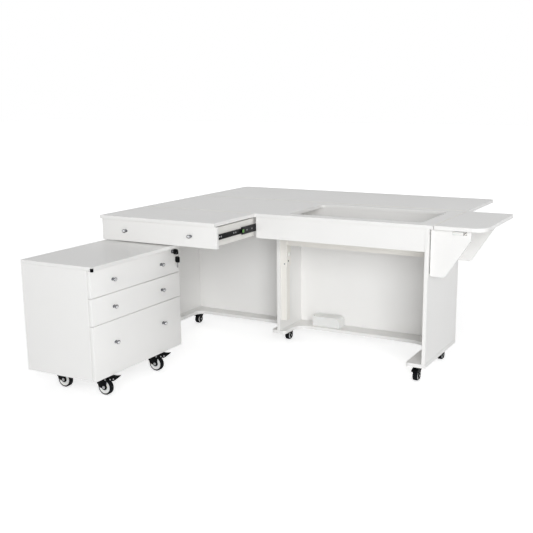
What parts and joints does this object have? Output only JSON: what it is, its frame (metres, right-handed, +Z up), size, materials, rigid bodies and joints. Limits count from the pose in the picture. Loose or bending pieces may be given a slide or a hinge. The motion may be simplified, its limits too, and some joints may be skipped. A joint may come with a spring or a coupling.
{
  "type": "sewing cabinet",
  "caption": "White folding sewing cabinet on casters with fold-over leaves, a machine lift in its worktop, an extending return drawer, swing brackets and a rolling drawer caddy.",
  "frame": {"origin": "on the floor, under the middle of the box round the desk with its leaves and the caddy", "axes": "+X to the right along the worktop's front edge, +Y from that edge to the rear leaf, +Z up"},
  "size_m": [1.8726, 2.0316, 0.7636],
  "materials": {
    "white_laminate": "white melamine laminate",
    "drawer_board": "white foil",
    "white_plastic": "satin",
    "black_steel": "black zinc",
    "white_enamel": "white enamel",
    "chrome": "polished",
    "black_plastic": "moulded",
    "tyre": "moulded"
  },
  "bodies": {
    "desk": {"left_side_panel": "white_laminate", "right_side_panel": "white_laminate", "partition_panel": "white_laminate", "back_panel": "white_laminate", "front_apron": "white_laminate", "slide_carrier": "white_laminate", "base_plate": "white_laminate", "worktop": "white_laminate", "lift_rail_left": "white_laminate", "lift_rail_right": "white_laminate", "control_box": "white_plastic", "slide_outer_left": "black_steel", "slide_outer_right": "black_steel", "rear_hinge": "white_enamel", "right_hinge": "white_enamel", "return_hinge": "white_enamel", "front_bracket_hinge": "black_steel", "rear_bracket_hinge": "black_steel"},
    "rear_leaf": {"rear_leaf": "white_laminate"},
    "right_leaf": {"right_leaf": "white_laminate"},
    "return_leaf": {"return_leaf": "white_laminate"},
    "return_drawer": {"return_drawer_front": "white_laminate", "return_drawer_box": "drawer_board", "return_knob_left": "chrome", "return_knob_right": "chrome", "slide_inner_left": "black_steel", "slide_inner_right": "black_steel"},
    "slide_left": {"slide_middle_left": "black_steel"},
    "slide_right": {"slide_middle_right": "black_steel"},
    "front_bracket": {"front_bracket": "white_laminate"},
    "rear_bracket": {"rear_bracket": "white_laminate"},
    "lift": {"lift_frame": "white_laminate", "lift_platform": "white_laminate"},
    "caddy": {"caddy_top": "white_laminate", "caddy_back": "white_laminate", "caddy_bottom": "white_laminate", "caddy_near_side": "white_laminate", "caddy_far_side": "white_laminate"},
    "caddy_drawer_1": {"caddy_drawer_1": "white_laminate"},
    "caddy_drawer_2": {"caddy_drawer_2": "white_laminate"},
    "caddy_drawer_3": {"caddy_drawer_3": "white_laminate"},
    "lock": {"lock_key": "black_plastic"},
    "right_front_caster_fork": {"right_front_caster_fork": "black_plastic"},
    "right_front_caster_wheel": {"right_front_caster_wheel": "tyre"},
    "right_back_caster_fork": {"right_back_caster_fork": "black_plastic"},
    "right_back_caster_wheel": {"right_back_caster_wheel": "tyre"},
    "middle_caster_fork": {"middle_caster_fork": "black_plastic"},
    "middle_caster_wheel": {"middle_caster_wheel": "tyre"},
    "left_front_caster_fork": {"left_front_caster_fork": "black_plastic"},
    "left_front_caster_wheel": {"left_front_caster_wheel": "tyre"},
    "left_back_caster_fork": {"left_back_caster_fork": "black_plastic"},
    "left_back_caster_wheel": {"left_back_caster_wheel": "tyre"},
    "caddy_near_front_caster_fork": {"caddy_near_front_caster_fork": "black_plastic"},
    "caddy_near_front_caster_wheel": {"caddy_near_front_caster_wheel": "tyre"},
    "caddy_near_back_caster_fork": {"caddy_near_back_caster_fork": "black_plastic"},
    "caddy_near_back_caster_wheel": {"caddy_near_back_caster_wheel": "tyre"},
    "caddy_far_front_caster_fork": {"caddy_far_front_caster_fork": "black_plastic"},
    "caddy_far_front_caster_wheel": {"caddy_far_front_caster_wheel": "tyre"},
    "caddy_far_back_caster_fork": {"caddy_far_back_caster_fork": "black_plastic"},
    "caddy_far_back_caster_wheel": {"caddy_far_back_caster_wheel": "tyre"}
  },
  "joints": [
    {"name": "rear_leaf_fold", "type": "hinge", "parent": "desk", "child": "rear_leaf", "pos_m": [-0.1213, 0.47275, 0.7624], "axis": [1, 0, 0], "range_deg": [0, 180]},
    {"name": "right_leaf_fold", "type": "hinge", "parent": "desk", "child": "right_leaf", "pos_m": [0.6952, 0.20025, 0.7624], "axis": [0, 1, 0], "range_deg": [-180, 0]},
    {"name": "return_leaf_fold", "type": "hinge", "parent": "desk", "child": "return_leaf", "pos_m": [-0.5928, -0.07225, 0.7624], "axis": [1, 0, 0], "range_deg": [-180, 0]},
    {"name": "return_drawer_slide", "type": "slide", "parent": "desk", "child": "return_drawer", "axis": [0, 1, 0], "range_m": [0, 0.369]},
    {"name": "slide_left_run", "type": "slide", "parent": "desk", "child": "slide_left", "axis": [0, 1, 0], "range_m": [0, 0.15129]},
    {"name": "slide_right_run", "type": "slide", "parent": "desk", "child": "slide_right", "axis": [0, 1, 0], "range_m": [0, 0.15129]},
    {"name": "front_bracket_swing", "type": "hinge", "parent": "desk", "child": "front_bracket", "pos_m": [0.6752, -0.02775, 0.7395], "axis": [0, 0, 1], "range_deg": [0, 90]},
    {"name": "rear_bracket_swing", "type": "hinge", "parent": "desk", "child": "rear_bracket", "pos_m": [0.6752, 0.37925, 0.7395], "axis": [0, 0, 1], "range_deg": [-90, 0]},
    {"name": "lift_raise", "type": "slide", "parent": "desk", "child": "lift", "axis": [0, 0, 1], "range_m": [-0.3, 0.11]},
    {"name": "caddy_roll", "type": "slide", "parent": "desk", "child": "caddy", "axis": [0, 1, 0], "range_m": [-0.4, 0.25]},
    {"name": "caddy_drawer_1_pull", "type": "slide", "parent": "caddy", "child": "caddy_drawer_1", "axis": [1, 0, 0], "range_m": [0, 0.28]},
    {"name": "caddy_drawer_2_pull", "type": "slide", "parent": "caddy", "child": "caddy_drawer_2", "axis": [1, 0, 0], "range_m": [0, 0.28]},
    {"name": "caddy_drawer_3_pull", "type": "slide", "parent": "caddy", "child": "caddy_drawer_3", "axis": [1, 0, 0], "range_m": [0, 0.28]},
    {"name": "lock_turn", "type": "hinge", "parent": "caddy_drawer_1", "child": "lock", "pos_m": [-0.527, -0.40575, 0.599], "axis": [1, 0, 0], "range_deg": [0, 90]},
    {"name": "right_front_swivel", "type": "hinge", "parent": "desk", "child": "right_front_caster_fork", "pos_m": [0.6237, -0.02275, 0.0725], "axis": [0, 0, 1], "continuous": true},
    {"name": "right_front_roll", "type": "hinge", "parent": "right_front_caster_fork", "child": "right_front_caster_wheel", "pos_m": [0.6237, -0.04075, 0.025], "axis": [1, 0, 0], "continuous": true},
    {"name": "right_back_swivel", "type": "hinge", "parent": "desk", "child": "right_back_caster_fork", "pos_m": [0.6237, 0.35425, 0.0725], "axis": [0, 0, 1], "continuous": true},
    {"name": "right_back_roll", "type": "hinge", "parent": "right_back_caster_fork", "child": "right_back_caster_wheel", "pos_m": [0.6237, 0.33625, 0.025], "axis": [1, 0, 0], "continuous": true},
    {"name": "middle_swivel", "type": "hinge", "parent": "desk", "child": "middle_caster_fork", "pos_m": [-0.2533, 0.32425, 0.0725], "axis": [0, 0, 1], "continuous": true},
    {"name": "middle_roll", "type": "hinge", "parent": "middle_caster_fork", "child": "middle_caster_wheel", "pos_m": [-0.2533, 0.30625, 0.025], "axis": [1, 0, 0], "continuous": true},
    {"name": "left_front_swivel", "type": "hinge", "parent": "desk", "child": "left_front_caster_fork", "pos_m": [-0.9033, -0.00275, 0.0725], "axis": [0, 0, 1], "continuous": true},
    {"name": "left_front_roll", "type": "hinge", "parent": "left_front_caster_fork", "child": "left_front_caster_wheel", "pos_m": [-0.9033, -0.02075, 0.025], "axis": [1, 0, 0], "continuous": true},
    {"name": "left_back_swivel", "type": "hinge", "parent": "desk", "child": "left_back_caster_fork", "pos_m": [-0.9033, 0.38625, 0.0725], "axis": [0, 0, 1], "continuous": true},
    {"name": "left_back_roll", "type": "hinge", "parent": "left_back_caster_fork", "child": "left_back_caster_wheel", "pos_m": [-0.9033, 0.36825, 0.025], "axis": [1, 0, 0], "continuous": true},
    {"name": "caddy_near_front_swivel", "type": "hinge", "parent": "caddy", "child": "caddy_near_front_caster_fork", "pos_m": [-0.6073, -0.87975, 0.108], "axis": [0, 0, 1], "continuous": true},
    {"name": "caddy_near_front_roll", "type": "hinge", "parent": "caddy_near_front_caster_fork", "child": "caddy_near_front_caster_wheel", "pos_m": [-0.5873, -0.87975, 0.0375], "axis": [0, 1, 0], "continuous": true},
    {"name": "caddy_near_back_swivel", "type": "hinge", "parent": "caddy", "child": "caddy_near_back_caster_fork", "pos_m": [-0.8513, -0.87975, 0.108], "axis": [0, 0, 1], "continuous": true},
    {"name": "caddy_near_back_roll", "type": "hinge", "parent": "caddy_near_back_caster_fork", "child": "caddy_near_back_caster_wheel", "pos_m": [-0.8313, -0.87975, 0.0375], "axis": [0, 1, 0], "continuous": true},
    {"name": "caddy_far_front_swivel", "type": "hinge", "parent": "caddy", "child": "caddy_far_front_caster_fork", "pos_m": [-0.6073, -0.48775, 0.108], "axis": [0, 0, 1], "continuous": true},
    {"name": "caddy_far_front_roll", "type": "hinge", "parent": "caddy_far_front_caster_fork", "child": "caddy_far_front_caster_wheel", "pos_m": [-0.5873, -0.48775, 0.0375], "axis": [0, 1, 0], "continuous": true},
    {"name": "caddy_far_back_swivel", "type": "hinge", "parent": "caddy", "child": "caddy_far_back_caster_fork", "pos_m": [-0.8513, -0.48775, 0.108], "axis": [0, 0, 1], "continuous": true},
    {"name": "caddy_far_back_roll", "type": "hinge", "parent": "caddy_far_back_caster_fork", "child": "caddy_far_back_caster_wheel", "pos_m": [-0.8313, -0.48775, 0.0375], "axis": [0, 1, 0], "continuous": true}
  ],
  "couplings": [
    {"joint": "slide_left_run", "follows": "return_drawer_slide", "ratio": 0.41},
    {"joint": "slide_right_run", "follows": "return_drawer_slide", "ratio": 0.41}
  ]
}
